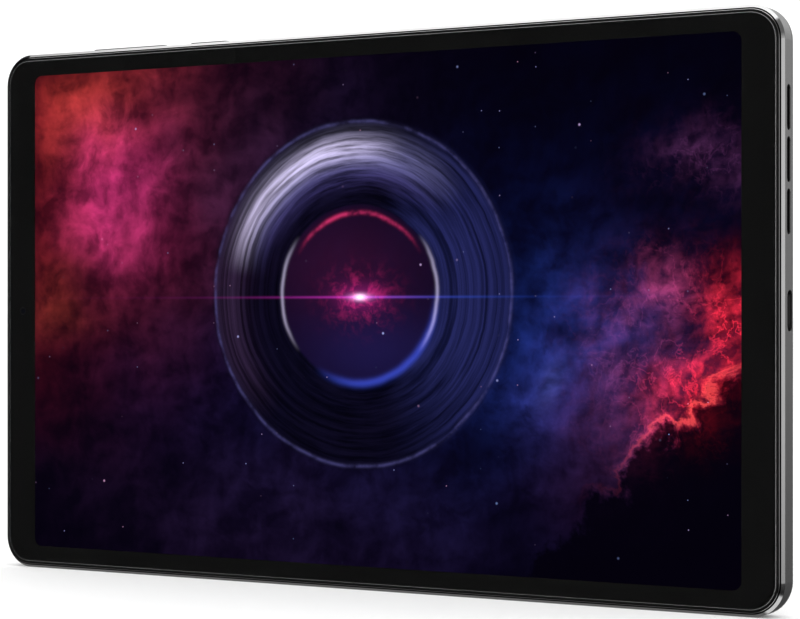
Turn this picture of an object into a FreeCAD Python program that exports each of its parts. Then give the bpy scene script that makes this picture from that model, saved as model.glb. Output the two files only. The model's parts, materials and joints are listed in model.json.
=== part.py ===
import FreeCAD, Part

import math
import os

# A tablet computer, standing upright on its lower long edge, in millimetres.
#
# X runs along the long side, Z is up along the short side, and the screen faces -Y. The origin is at the
# bottom centre of the whole object's box. Depths are measured from the front glass towards the rear, and
# y_at() turns them into Y. Insets are measured inwards from the outermost outline of the body. Each function
# marked as a node makes one named sub-part.

# Body
LENGTH = 208.5
HEIGHT = 129.5
THICKNESS = 7.8
CORNER_R = 7.6
WALL = 1.6
CAMERA_STAND = 0.9

# Side frame, front to rear
LIP_DEPTH = 0.2
LIP_OUTER_INSET = 0.94
LIP_INNER_INSET = 1.24
LIP_ROUND = 0.14
CHAMFER_DEPTH = 0.5
CHAMFER = 0.62
LEDGE_FRONT = 0.9
LEDGE_REAR = 1.9
LEDGE_INSET = 2.6
FRAME_REAR = 5.3
SEAM = 0.1
SEAM_CHAMFER = 0.08

# Rear cover
COVER_FRONT = FRAME_REAR + SEAM
COVER_ROUND = 2.3
COVER_INSIDE = 7.1

# Front stack
GASKET_FRONT = 0.35
GASKET_GAP = 0.04
GLASS_T = 0.7
GLASS_INSET = 1.55
GLASS_ROUND = 0.3
MASK_GAP = 0.01
MASK_T = 0.04
MASK_INSET = 1.65
SCREEN_DIAGONAL = 223.52
SCREEN_RATIO = 16 / 10
SCREEN_CORNER = 2.0
PANEL_MARGIN = 0.9
PANEL_CORNER = 0.8
PANEL_T = 1.0
BACKLIGHT_T = 1.3
MASK_FRONT = GLASS_T + MASK_GAP
PANEL_FRONT = MASK_FRONT + MASK_T
PANEL_REAR = PANEL_FRONT + PANEL_T
BACKLIGHT_REAR = PANEL_REAR + BACKLIGHT_T

# Mid plate, and the level that everything behind it stands on
PLATE_FRONT = 3.15
PLATE_REAR = 3.65
PLATE_INSET = 1.7
BENCH = 3.75
BOARD_REAR = 4.45
PLUG_REAR = 4.95
FLEX_T = 0.12
MODULE_REAR = 6.6

# Buttons on the upper edge
BUTTON_DEPTH = 3.5
BUTTON_WIDTH = 2.1
BUTTON_STAND = 0.45
BUTTON_GAP = 0.1
BUTTON_ROUND = 0.3
FLANGE_WIDTH = 2.9
FLANGE_LONGER = 2.0
FLANGE_T = 0.5
FLANGE_GAP = 0.3
NUB_R = 0.6
DOME_HEIGHT = 0.3
DOME_R = 1.5
DOME_CLEARANCE = 0.03
FULCRUM_R = 0.5
FULCRUM_CLEARANCE = 0.05
ROCKER_X = -67.1
ROCKER_LENGTH = 22.0
ROCKER_NUB_OFFSET = 8.0
ROCKER_TILT = 1.25
POWER_X = -43.3
POWER_LENGTH = 11.0
POWER_TRAVEL = 0.3

# Edge openings
SLOT_DEPTH = 3.3
SLOT_WIDTH = 1.9
SLOT_LENGTH = 9.5
SLOT_PITCH = 11.0
SLOT_MIDDLE = 31.9
SLOT_FLARE = 0.15
USB_DEPTH = 4.0
USB_OPENING = (8.34, 2.56)
USB_SHELL_WALL = 0.3
USB_HOLE_MARGIN = 0.15
USB_BACK = 95.85
USB_BACK_WALL = 0.6
TONGUE_LENGTH = 5.0
TONGUE_HALF_WIDTH = 3.34
TONGUE_HALF_T = 0.35
TONGUE_ROOT_LENGTH = 1.2
TONGUE_ROOT_HALF_WIDTH = 3.5
TONGUE_ROOT_HALF_T = 0.8
CONTACTS = 12
CONTACT_PITCH = 0.5
CONTACT_WIDTH = 0.25
CONTACT_T = 0.04
CONTACT_SPAN = (1.9, 5.2)
USB_SEAL_WALL = 0.75
USB_SEAL_LENGTH = 0.7
MIC_DEPTH = 4.2
MIC_R = 0.5
MIC_LEFT_RISE = -16.0
MIC_TOP_X = 10.0

# Rear camera, its flash and the radio window that they sit in
CAMERA_X, CAMERA_Z = -87.5, 114.5
CAMERA_RING_R = 6.5
CAMERA_LENS_R = 4.9
CAMERA_BARREL_R = 3.0
CAMERA_HOUSING = 9.5
FLASH_Z = 99.5
FLASH_R = 1.9
WINDOW_X0, WINDOW_X1 = -100.3, -76.3
WINDOW_Z0, WINDOW_Z1 = 4.2, 125.3
WINDOW_R = 5.5
WINDOW_T = 0.45
WINDOW_GAP = 0.06
WINDOW_LEDGE = 1.4
WINDOW_BOSS_FRONT = 6.7
RING_FRONT = 7.0
RING_ROUND = 0.35
RING_FLANGE = 0.9
RING_LEDGE = 0.7
LENS_COVER_FRONT = THICKNESS + 0.1
LENS_COVER_REAR = THICKNESS + CAMERA_STAND - 0.2
BARREL_FRONT, BARREL_REAR = 5.1, 7.5
THROAT_FRONT = 6.6
THROAT_R = 2.4
ELEMENT_FRONT, ELEMENT_REAR = 5.9, 6.3
ELEMENT_SEAT_R = 1.4
ELEMENT_R = 1.38
ELEMENT_CROWN = 0.35
FLASH_BASE_HALF = 1.5
FLASH_CHIP_HALF = 0.9
FLASH_BASE_REAR, FLASH_CHIP_REAR = 6.9, 7.2

# Front camera, in the middle of the left border
FRONT_CAMERA_X = -98.7
FRONT_CAMERA_SIDE = 5.2
FRONT_APERTURE_R = 1.05
FRONT_BARREL_R = 1.8
FRONT_BARREL_FRONT = 0.8
FRONT_BODY_FRONT = 1.2
FRONT_BORE_R = 1.0
FRONT_BORE_END = 2.4
FRONT_LENS_R = 0.95
FRONT_LENS_FRONT, FRONT_LENS_REAR = 1.1, 1.5
FRONT_LENS_CROWN = 0.25

# Fasteners
SCREW_R = 0.6
SCREW_HOLE_R = 0.65
SCREW_HEAD_R = 1.3
SCREW_HEAD_T = 0.5
SCREW_HEAD_ROUND = 0.15
CROSS_LENGTH = 1.2
CROSS_WIDTH = 0.3
CROSS_FLOOR = 0.25
BOSS_R = 1.8
CHASSIS_SCREW_X = 99.6
CHASSIS_SCREW_ZS = (12.0, 40.0, 120.0)
BUTTON_SCREWS = ((-83.0, 123.9), (-33.0, 123.9))
MAIN_BOARD_SCREWS = ((-90.7, 8.5), (-69.8, 8.5), (-69.8, 119.6), (-90.7, 106.8))
SUB_BOARD_SCREWS = ((79.8, 50.0), (79.8, 76.0))

# Boards, ribbons and cells
DISPLAY_FLEX_Z = (36.0, 54.0)
DISPLAY_FLEX_T = 0.15
DISPLAY_FLEX_END = -86.0
MAIN_BOARD = (-92.5, -68.0, 6.0, 121.8)
MAIN_SHIELD = (-91.0, -70.0, 60.0, 96.0)
RADIO_SHIELD = (-91.0, -70.0, 14.0, 34.0)
SHIELD_REAR = 6.3
SHIELD_T = 0.2
PROCESSOR_T = 1.3
SUB_BOARD = (78.0, 102.2, 48.0, 78.5)
SUB_BOARD_FRONT = 3.85
SUB_BOARD_NOTCH_X = 95.6
SUB_BOARD_NOTCH_HALF = 5.1
BUTTON_RIBBON_X = (-76.0, -72.0)
BUTTON_RIBBON_END = 114.8
LONG_RIBBON_Z = (2.2, 5.2)
LONG_RIBBON_LEFT = (-76.0, -71.0)
LONG_RIBBON_RIGHT = (82.0, 87.0)
CELL_ENDS = ((-66.0, 4.0), (5.0, 75.0))
CELL_Z0, CELL_Z1 = 6.0, 116.0
CELL_REAR = 6.95
CELL_ROUND = 1.0
CELL_BOARD = (-64.0, 73.0)
CELL_BOARD_WIDTH = 4.0
CELL_BOARD_FRONT = 4.3
CELL_PLUG = (-72.6, -66.8, 101.0, 108.0)

# Speakers, one behind the slots at each end
SPEAKER_RISE0, SPEAKER_RISE1 = 14.95, 48.95
SPEAKER_WIDTH = 9.0
SPEAKER_WALL = 0.5
DIAPHRAGM_T = 0.15
MAGNET_T = 1.0
MAGNET_HALF = (2.6, 7.0)
DIAPHRAGM_HALF = (3.4, 9.0)
DIAPHRAGM_CORNER = 3.0
SPEAKER_WALL_GAP = 0.25
PORT_FRONT_WALL = 0.3
SCREEN_GAP = 0.03
SCREEN_T = 0.17
SCREEN_HALF_WIDTH = 1.15
NOZZLE_WIDTH = 5.2
NOZZLE_FRONT = 2.1

# Vibration motor
HAPTIC = (89.5, 101.5, 22.0, 32.0)
HAPTIC_WALL = 0.3
HAPTIC_TRAVEL = 0.5
HAPTIC_SHAFT_R = 0.4

HALF = LENGTH / 2
MID_Z = HEIGHT / 2
FRONT_Y = -(THICKNESS + CAMERA_STAND) / 2
INNER_X = HALF - WALL
INNER_TOP = HEIGHT - WALL
SPEAKER_OUTER_X = INNER_X - SPEAKER_WALL_GAP
NOZZLE_X = SPEAKER_OUTER_X - NOZZLE_WIDTH
USB_FRONT = INNER_X - 0.05
BRACKET_X0, BRACKET_X1 = -81.5, -34.5
BRACKET_D0 = BUTTON_DEPTH - FLANGE_WIDTH / 2
BRACKET_D1 = BUTTON_DEPTH + FLANGE_WIDTH / 2
SCREEN_W = SCREEN_DIAGONAL * SCREEN_RATIO / math.hypot(SCREEN_RATIO, 1)
SCREEN_H = SCREEN_W / SCREEN_RATIO
SLOT_RISES = [SLOT_MIDDLE + k * SLOT_PITCH for k in (-1, 0, 1)]
FLANGE_TOP = INNER_TOP - FLANGE_GAP
FLANGE_BOTTOM = FLANGE_TOP - FLANGE_T
DOME_TOP = FLANGE_BOTTOM - 0.83
BRACKET_TOP = DOME_TOP - DOME_HEIGHT - FLEX_T
BRACKET_T = 0.4
POWER_NUB_BOTTOM = DOME_TOP + POWER_TRAVEL + DOME_CLEARANCE
ROCKER_NUB_BOTTOM = DOME_TOP + ROCKER_NUB_OFFSET * math.sin(math.radians(ROCKER_TILT)) + DOME_CLEARANCE
NODES = {}


def node(make):
    """Registers a function as the maker of the sub-part with its name."""
    NODES[make.__name__] = make
    return make


def y_at(depth):
    return FRONT_Y + depth


def vec(x, depth, z):
    return FreeCAD.Vector(x, y_at(depth), z)


def block(x0, x1, z0, z1, d0, d1):
    """A box between two X, two Z and two depths."""
    return Part.makeBox(x1 - x0, d1 - d0, z1 - z0, vec(x0, d0, z0))


def rounded_wire(x0, x1, z0, z1, radius, depth):
    """A rectangle with round corners, facing the front."""
    k = radius * (1 - math.sqrt(0.5))

    def p(x, z):
        return vec(x, depth, z)

    edges = [
        Part.LineSegment(p(x0 + radius, z0), p(x1 - radius, z0)),
        Part.Arc(p(x1 - radius, z0), p(x1 - k, z0 + k), p(x1, z0 + radius)),
        Part.LineSegment(p(x1, z0 + radius), p(x1, z1 - radius)),
        Part.Arc(p(x1, z1 - radius), p(x1 - k, z1 - k), p(x1 - radius, z1)),
        Part.LineSegment(p(x1 - radius, z1), p(x0 + radius, z1)),
        Part.Arc(p(x0 + radius, z1), p(x0 + k, z1 - k), p(x0, z1 - radius)),
        Part.LineSegment(p(x0, z1 - radius), p(x0, z0 + radius)),
        Part.Arc(p(x0, z0 + radius), p(x0 + k, z0 + k), p(x0 + radius, z0)),
    ]
    return Part.Wire([e.toShape() for e in edges])


def rounded_block(x0, x1, z0, z1, radius, d0, d1):
    wire = rounded_wire(x0, x1, z0, z1, radius, d0)
    return Part.Face(wire).extrude(FreeCAD.Vector(0, d1 - d0, 0))


def body_block(inset, d0, d1):
    """The body's outline, moved inwards by an inset, between two depths."""
    return rounded_block(
        -HALF + inset, HALF - inset, inset, HEIGHT - inset, CORNER_R - inset, d0, d1
    )


def body_band(outer, inner, d0, d1):
    """A band that runs round the body between two insets."""
    return body_block(outer, d0, d1).cut(body_block(inner, d0, d1))


def screen_block(margin, d0, d1, radius=SCREEN_CORNER):
    """The lit area, grown by a margin."""
    half_w, half_h = SCREEN_W / 2 + margin, SCREEN_H / 2 + margin
    return rounded_block(-half_w, half_w, MID_Z - half_h, MID_Z + half_h, radius, d0, d1)


def disc(x, z, radius, d0, d1):
    return Part.makeCylinder(radius, d1 - d0, vec(x, d0, z), FreeCAD.Vector(0, 1, 0))


def oval_wire(centre, along, across, length, width):
    """A slot outline: two straight sides and two half rounds, about a centre."""
    r = width / 2
    a = along * (length / 2 - r)
    tip = along * (length / 2)
    b = across * r
    edges = [
        Part.LineSegment(centre - a - b, centre + a - b),
        Part.Arc(centre + a - b, centre + tip, centre + a + b),
        Part.LineSegment(centre + a + b, centre - a + b),
        Part.Arc(centre - a + b, centre - tip, centre - a - b),
    ]
    return Part.Wire([e.toShape() for e in edges])


def oval(centre, along, across, length, width, reach):
    """An oval prism that reaches from its centre along a vector."""
    return Part.Face(oval_wire(centre, along, across, length, width)).extrude(reach)


def flared_oval(centre, along, across, length, width, inwards):
    """A cutter for a slot whose mouth, at the centre, opens out at 45 degrees."""
    unit = FreeCAD.Vector(inwards).normalize()
    straight = oval(centre - unit, along, across, length, width, inwards + unit)
    mouth = Part.makeLoft(
        [
            oval_wire(centre, along, across, length + 2 * SLOT_FLARE, width + 2 * SLOT_FLARE),
            oval_wire(centre + unit * SLOT_FLARE, along, across, length, width),
        ],
        True,
        True,
    )
    return straight.fuse(mouth)


X_AXIS = FreeCAD.Vector(1, 0, 0)
Y_AXIS = FreeCAD.Vector(0, 1, 0)
Z_AXIS = FreeCAD.Vector(0, 0, 1)


def edges_at(shape, depth):
    """The edges that lie wholly at one depth."""
    y = y_at(depth)
    return [
        e
        for e in shape.Edges
        if abs(e.BoundBox.YMin - y) < 1e-3 and abs(e.BoundBox.YMax - y) < 1e-3
    ]


def cut_all(shape, tools):
    for tool in tools:
        shape = shape.cut(tool)
    return shape


def fuse_all(shapes):
    whole = shapes[0]
    for other in shapes[1:]:
        whole = whole.fuse(other)
    return whole.removeSplitter()


def screw(x, z, head_front, reach):
    """A pan-head screw from the rear: its head stands behind head_front and its shank runs forwards."""
    head = disc(x, z, SCREW_HEAD_R, head_front, head_front + SCREW_HEAD_T)
    head = head.makeFillet(SCREW_HEAD_ROUND, edges_at(head, head_front + SCREW_HEAD_T))
    shank = disc(x, z, SCREW_R, head_front - reach, head_front)
    long, short = CROSS_LENGTH / 2, CROSS_WIDTH / 2
    floor = head_front + CROSS_FLOOR
    bars = [
        block(x - half_x, x + half_x, z - half_z, z + half_z, floor, head_front + SCREW_HEAD_T)
        for half_x, half_z in ((long, short), (short, long))
    ]
    return head.fuse(shank).cut(fuse_all(bars)).removeSplitter()


# ---------------------------------------------------------------- casing


def edge_slots():
    """Cutters for everything that opens through the walls."""
    tools = []
    for side in (-1, 1):
        inwards = X_AXIS * (-side * (WALL + 1))
        for rise in SLOT_RISES:
            mouth = vec(side * HALF, SLOT_DEPTH, MID_Z + rise)
            tools.append(flared_oval(mouth, Z_AXIS, Y_AXIS, SLOT_LENGTH, SLOT_WIDTH, inwards))
    usb_length, usb_width = (s + 2 * USB_HOLE_MARGIN for s in USB_OPENING)
    mouth = vec(HALF, USB_DEPTH, MID_Z)
    tools.append(flared_oval(mouth, Z_AXIS, Y_AXIS, usb_length, usb_width, X_AXIS * -(WALL + 1)))
    for x, length in ((ROCKER_X, ROCKER_LENGTH), (POWER_X, POWER_LENGTH)):
        mouth = vec(x, BUTTON_DEPTH, HEIGHT)
        grow = 2 * BUTTON_GAP
        tools.append(
            flared_oval(mouth, X_AXIS, Y_AXIS, length + grow, BUTTON_WIDTH + grow, Z_AXIS * -(WALL + 1))
        )
    left_mic = vec(-HALF - 1, MIC_DEPTH, MID_Z + MIC_LEFT_RISE)
    top_mic = vec(MIC_TOP_X, MIC_DEPTH, INNER_TOP - 1)
    tools.append(Part.makeCylinder(MIC_R, WALL + 2, left_mic, X_AXIS))
    tools.append(Part.makeCylinder(MIC_R, WALL + 2, top_mic, Z_AXIS))
    return tools


def chassis_screw_places():
    return [(side * CHASSIS_SCREW_X, z) for side in (-1, 1) for z in CHASSIS_SCREW_ZS]


def screw_bosses():
    """Posts that carry the mid plate, each on a web from the end wall."""
    posts = []
    for x, z in chassis_screw_places():
        side = 1 if x > 0 else -1
        x0, x1 = sorted((x, side * (INNER_X + 0.2)))
        post = disc(x, z, BOSS_R, LEDGE_REAR - 0.2, PLATE_FRONT)
        web = block(x0, x1, z - BOSS_R, z + BOSS_R, LEDGE_REAR - 0.2, PLATE_FRONT)
        posts.append(post.fuse(web).cut(disc(x, z, SCREW_HOLE_R, LEDGE_REAR + 0.2, PLATE_FRONT)))
    return posts


@node
def side_frame():
    """Metal band with a bright chamfer, a raised lip round the glass and a ledge that carries the glass."""
    band = body_block(0, CHAMFER_DEPTH, FRAME_REAR)
    band = band.makeChamfer(CHAMFER, edges_at(band, CHAMFER_DEPTH))
    band = band.makeChamfer(SEAM_CHAMFER, edges_at(band, FRAME_REAR))
    lip = body_block(LIP_OUTER_INSET, LIP_DEPTH, CHAMFER_DEPTH)
    lip = lip.makeFillet(LIP_ROUND, edges_at(lip, LIP_DEPTH))
    band = band.fuse(lip)
    band = band.cut(body_block(LIP_INNER_INSET, 0, LEDGE_FRONT))
    band = band.cut(body_block(LEDGE_INSET, LEDGE_FRONT - 0.1, LEDGE_REAR))
    band = band.cut(body_block(WALL, LEDGE_REAR, FRAME_REAR))
    return cut_all(fuse_all([band, *screw_bosses()]), edge_slots())


def window_block(margin, d0, d1):
    """The radio window's outline, grown by a margin."""
    return rounded_block(
        WINDOW_X0 - margin,
        WINDOW_X1 + margin,
        WINDOW_Z0 - margin,
        WINDOW_Z1 + margin,
        WINDOW_R + margin,
        d0,
        d1,
    )


@node
def rear_cover():
    """Shallow metal tray with rounded rear edges and a recess for the radio window."""
    tray = body_block(0, COVER_FRONT, THICKNESS)
    tray = tray.makeFillet(COVER_ROUND, edges_at(tray, THICKNESS))
    tray = tray.makeChamfer(SEAM_CHAMFER, edges_at(tray, COVER_FRONT))
    tray = tray.cut(body_block(WALL, COVER_FRONT, COVER_INSIDE))
    boss = window_block(1.0, WINDOW_BOSS_FRONT, COVER_INSIDE)
    boss = boss.common(body_block(WALL, WINDOW_BOSS_FRONT, COVER_INSIDE))
    tray = fuse_all([tray, boss])
    recess = window_block(0, THICKNESS - WINDOW_T, THICKNESS + 1)
    opening = window_block(-WINDOW_LEDGE, WINDOW_BOSS_FRONT - 1, THICKNESS)
    return cut_all(tray, [recess, opening])


@node
def rear_window():
    """Radio-transparent plate, flush in the rear cover, that carries the camera ring and the flash."""
    plate = window_block(-WINDOW_GAP, THICKNESS - WINDOW_T, THICKNESS)
    holes = [
        disc(CAMERA_X, CAMERA_Z, CAMERA_RING_R + 0.05, THICKNESS - 1, THICKNESS + 1),
        disc(CAMERA_X, FLASH_Z, FLASH_R + 0.05, THICKNESS - 1, THICKNESS + 1),
    ]
    return cut_all(plate, holes)


@node
def cover_adhesive():
    """Glue line between the side frame and the rear cover."""
    return body_band(0.5, 1.4, FRAME_REAR, COVER_FRONT)


@node
def cover_glass():
    """Front glass with a rounded edge."""
    plate = body_block(GLASS_INSET, 0, GLASS_T)
    return plate.makeFillet(GLASS_ROUND, edges_at(plate, 0))


@node
def border_mask():
    """Black print behind the glass, open over the lit area and the front camera."""
    sheet = body_block(MASK_INSET, MASK_FRONT, PANEL_FRONT)
    lit = screen_block(0, MASK_FRONT, PANEL_FRONT)
    eye = disc(FRONT_CAMERA_X, MID_Z, FRONT_APERTURE_R, MASK_FRONT, PANEL_FRONT)
    return cut_all(sheet, [lit, eye])


@node
def glass_gasket():
    """Soft black seal in the gap round the glass."""
    outer, inner = LIP_INNER_INSET + GASKET_GAP, GLASS_INSET - GASKET_GAP
    return body_band(outer, inner, GASKET_FRONT, LEDGE_FRONT)


@node
def display_adhesive():
    """Tape between the printed border and the frame's ledge."""
    return body_band(MASK_INSET + 0.05, LEDGE_INSET - 0.1, PANEL_FRONT, LEDGE_FRONT)


# ---------------------------------------------------------------- display


@node
def display_panel():
    """Liquid crystal cell."""
    return screen_block(PANEL_MARGIN, PANEL_FRONT, PANEL_REAR, PANEL_CORNER)


@node
def backlight_unit():
    """Light guide, diffusers and reflector in their tray."""
    return screen_block(PANEL_MARGIN, PANEL_REAR, BACKLIGHT_REAR, PANEL_CORNER)


@node
def display_flex():
    """Ribbon from the panel's left end, through the mid plate, to the main board."""
    end = -SCREEN_W / 2 - PANEL_MARGIN
    z0, z1 = DISPLAY_FLEX_Z
    outer = end - DISPLAY_FLEX_T
    rear = PLUG_REAR + FLEX_T
    drop = block(outer, end, z0, z1, (PANEL_FRONT + PANEL_REAR) / 2, rear)
    tail = block(outer, DISPLAY_FLEX_END, z0, z1, PLUG_REAR, rear)
    return fuse_all([drop, tail])


@node
def mid_plate():
    """Stiff sheet-metal chassis between the display and everything behind it."""
    plate = body_block(PLATE_INSET, PLATE_FRONT, PLATE_REAR)
    flex_x = -SCREEN_W / 2 - PANEL_MARGIN
    notches = [
        (-82.0, -34.0, HEIGHT - 4.6, HEIGHT),
        (95.4, HALF, MID_Z - 5.4, MID_Z + 5.4),
        (NOZZLE_X - 0.3, HALF, MID_Z + SPEAKER_RISE0 - 0.3, MID_Z + SPEAKER_RISE1 + 0.3),
        (-HALF, -NOZZLE_X + 0.3, MID_Z + SPEAKER_RISE0 - 0.3, MID_Z + SPEAKER_RISE1 + 0.3),
        (FRONT_CAMERA_X - 2.9, FRONT_CAMERA_X + 2.9, MID_Z - 2.9, MID_Z + 2.9),
        (flex_x - 0.5, flex_x + 0.3, DISPLAY_FLEX_Z[0] - 0.5, DISPLAY_FLEX_Z[1] + 0.5),
    ]
    tools = [block(*n, PLATE_FRONT, PLATE_REAR) for n in notches]
    places = [*chassis_screw_places(), *BUTTON_SCREWS, *MAIN_BOARD_SCREWS, *SUB_BOARD_SCREWS]
    tools += [disc(x, z, SCREW_HOLE_R, PLATE_FRONT, PLATE_REAR) for x, z in places]
    return cut_all(plate, tools)


@node
def chassis_screws():
    """Screws that hold the mid plate on the frame's posts."""
    return Part.makeCompound([screw(x, z, PLATE_REAR, 1.5) for x, z in chassis_screw_places()])


# ---------------------------------------------------------------- cameras


@node
def front_camera_housing():
    x0, x1 = FRONT_CAMERA_X - FRONT_CAMERA_SIDE / 2, FRONT_CAMERA_X + FRONT_CAMERA_SIDE / 2
    z0, z1 = MID_Z - FRONT_CAMERA_SIDE / 2, MID_Z + FRONT_CAMERA_SIDE / 2
    body = block(x0, x1, z0, z1, FRONT_BODY_FRONT, PLUG_REAR)
    barrel = disc(FRONT_CAMERA_X, MID_Z, FRONT_BARREL_R, FRONT_BARREL_FRONT, FRONT_BODY_FRONT)
    bore = disc(FRONT_CAMERA_X, MID_Z, FRONT_BORE_R, FRONT_BARREL_FRONT, FRONT_BORE_END)
    return fuse_all([body, barrel]).cut(bore)


def dome(x, z, radius, height, base, direction):
    """A shallow spherical cap on a flat base, bulging along a direction."""
    sphere_r = (radius * radius + height * height) / (2 * height)
    axis = FreeCAD.Vector(0, direction, 0)
    centre = vec(x, base, z) - axis * (sphere_r - height)
    ball = Part.makeSphere(sphere_r, centre)
    keep = Part.makeCylinder(radius * 1.2, height * 1.5, vec(x, base, z), axis)
    return ball.common(keep)


@node
def front_camera_lens():
    """Front element, in the barrel's mouth."""
    rim = disc(FRONT_CAMERA_X, MID_Z, FRONT_LENS_R, FRONT_LENS_FRONT, FRONT_LENS_REAR)
    crown = dome(FRONT_CAMERA_X, MID_Z, FRONT_LENS_R, FRONT_LENS_CROWN, FRONT_LENS_FRONT, -1)
    return rim.fuse(crown).removeSplitter()


@node
def rear_camera_ring():
    """Metal ring that stands off the rear face and guards the lens cover."""
    rear = THICKNESS + CAMERA_STAND
    outer = disc(CAMERA_X, CAMERA_Z, CAMERA_RING_R, RING_FRONT, rear)
    outer = outer.makeFillet(RING_ROUND, edges_at(outer, rear))
    flange_rear = THICKNESS - WINDOW_T - 0.02
    flange = disc(CAMERA_X, CAMERA_Z, CAMERA_RING_R + RING_FLANGE, RING_FRONT - 0.05, flange_rear)
    bore = disc(CAMERA_X, CAMERA_Z, CAMERA_LENS_R - RING_LEDGE, RING_FRONT - 1, rear + 1)
    seat = disc(CAMERA_X, CAMERA_Z, CAMERA_LENS_R + 0.03, LENS_COVER_FRONT, rear + 1)
    return cut_all(fuse_all([outer, flange]), [bore, seat])


@node
def rear_camera_lens_cover():
    """Flat scratch-proof glass in the ring's seat."""
    glass = disc(CAMERA_X, CAMERA_Z, CAMERA_LENS_R, LENS_COVER_FRONT, LENS_COVER_REAR)
    return glass.makeChamfer(0.12, edges_at(glass, LENS_COVER_REAR))


@node
def rear_camera_housing():
    half = CAMERA_HOUSING / 2
    box = block(CAMERA_X - half, CAMERA_X + half, CAMERA_Z - half, CAMERA_Z + half, BENCH, MODULE_REAR)
    bore = disc(CAMERA_X, CAMERA_Z, CAMERA_BARREL_R + 0.08, BARREL_FRONT - 0.2, MODULE_REAR)
    return box.cut(bore)


@node
def rear_camera_barrel():
    """Lens barrel that the focus motor slides along its axis."""
    barrel = disc(CAMERA_X, CAMERA_Z, CAMERA_BARREL_R, BARREL_FRONT, BARREL_REAR)
    barrel = barrel.makeChamfer(0.3, edges_at(barrel, BARREL_REAR))
    mouth = vec(CAMERA_X, THROAT_FRONT, CAMERA_Z)
    throat = Part.makeCone(ELEMENT_SEAT_R, THROAT_R, BARREL_REAR - THROAT_FRONT, mouth, Y_AXIS)
    seat = disc(CAMERA_X, CAMERA_Z, ELEMENT_SEAT_R, ELEMENT_FRONT, THROAT_FRONT)
    return cut_all(barrel, [throat, seat])


@node
def rear_camera_element():
    """Outer lens of the barrel's stack."""
    rim = disc(CAMERA_X, CAMERA_Z, ELEMENT_R, ELEMENT_FRONT, ELEMENT_REAR)
    crown = dome(CAMERA_X, CAMERA_Z, ELEMENT_R, ELEMENT_CROWN, ELEMENT_REAR, 1)
    return rim.fuse(crown).removeSplitter()


@node
def camera_flexes():
    """Ribbons from both cameras to the main board."""
    d0, d1 = PLUG_REAR, PLUG_REAR + FLEX_T
    half = FRONT_CAMERA_SIDE / 2
    pad = block(FRONT_CAMERA_X - half, FRONT_CAMERA_X + half, MID_Z - half, MID_Z + half, d0, d1)
    leg = block(FRONT_CAMERA_X - 0.5, FRONT_CAMERA_X + half, 55.2, MID_Z, d0, d1)
    foot = block(FRONT_CAMERA_X - 0.5, -87.0, 55.2, 58.2, d0, d1)
    rear = block(-88.0, -83.0, 103.5, CAMERA_Z - CAMERA_HOUSING / 2, d0, d1)
    return Part.makeCompound([fuse_all([pad, leg, foot]), rear])


@node
def flash_lens():
    return disc(CAMERA_X, FLASH_Z, FLASH_R, THICKNESS - WINDOW_T, THICKNESS)


@node
def flash_led():
    """Light source on its tall base."""
    levels = (
        (FLASH_BASE_HALF, BOARD_REAR, FLASH_BASE_REAR),
        (FLASH_CHIP_HALF, FLASH_BASE_REAR, FLASH_CHIP_REAR),
    )
    return fuse_all(
        [
            block(CAMERA_X - half, CAMERA_X + half, FLASH_Z - half, FLASH_Z + half, d0, d1)
            for half, d0, d1 in levels
        ]
    )


# ---------------------------------------------------------------- buttons


def button_cap(x, length, nub_offsets, nub_bottom):
    """A key: the part that shows, a flange that keeps it in, and nubs that press the domes."""
    top = HEIGHT + BUTTON_STAND
    key_base = vec(x, BUTTON_DEPTH, FLANGE_TOP)
    key = oval(key_base, X_AXIS, Y_AXIS, length, BUTTON_WIDTH, Z_AXIS * (top - FLANGE_TOP))
    crown = [e for e in key.Edges if e.BoundBox.ZMin > top - 1e-3]
    key = key.makeFillet(BUTTON_ROUND, crown)
    flange_base = vec(x, BUTTON_DEPTH, FLANGE_BOTTOM)
    flange = oval(flange_base, X_AXIS, Y_AXIS, length + FLANGE_LONGER, FLANGE_WIDTH, Z_AXIS * FLANGE_T)
    nub_ends = [vec(x + offset, BUTTON_DEPTH, nub_bottom) for offset in nub_offsets]
    nubs = [Part.makeCylinder(NUB_R, FLANGE_BOTTOM - nub_bottom, end, Z_AXIS) for end in nub_ends]
    return [key, flange, *nubs]


@node
def volume_rocker():
    """Long key that rocks about a round rib at its middle."""
    offsets = (-ROCKER_NUB_OFFSET, ROCKER_NUB_OFFSET)
    pieces = button_cap(ROCKER_X, ROCKER_LENGTH, offsets, ROCKER_NUB_BOTTOM)
    rib = Part.makeCylinder(FULCRUM_R, 2.0, vec(ROCKER_X, BUTTON_DEPTH - 1, FLANGE_BOTTOM), Y_AXIS)
    return fuse_all([*pieces, rib])


@node
def power_button():
    return fuse_all(button_cap(POWER_X, POWER_LENGTH, (0,), POWER_NUB_BOTTOM))


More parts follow.
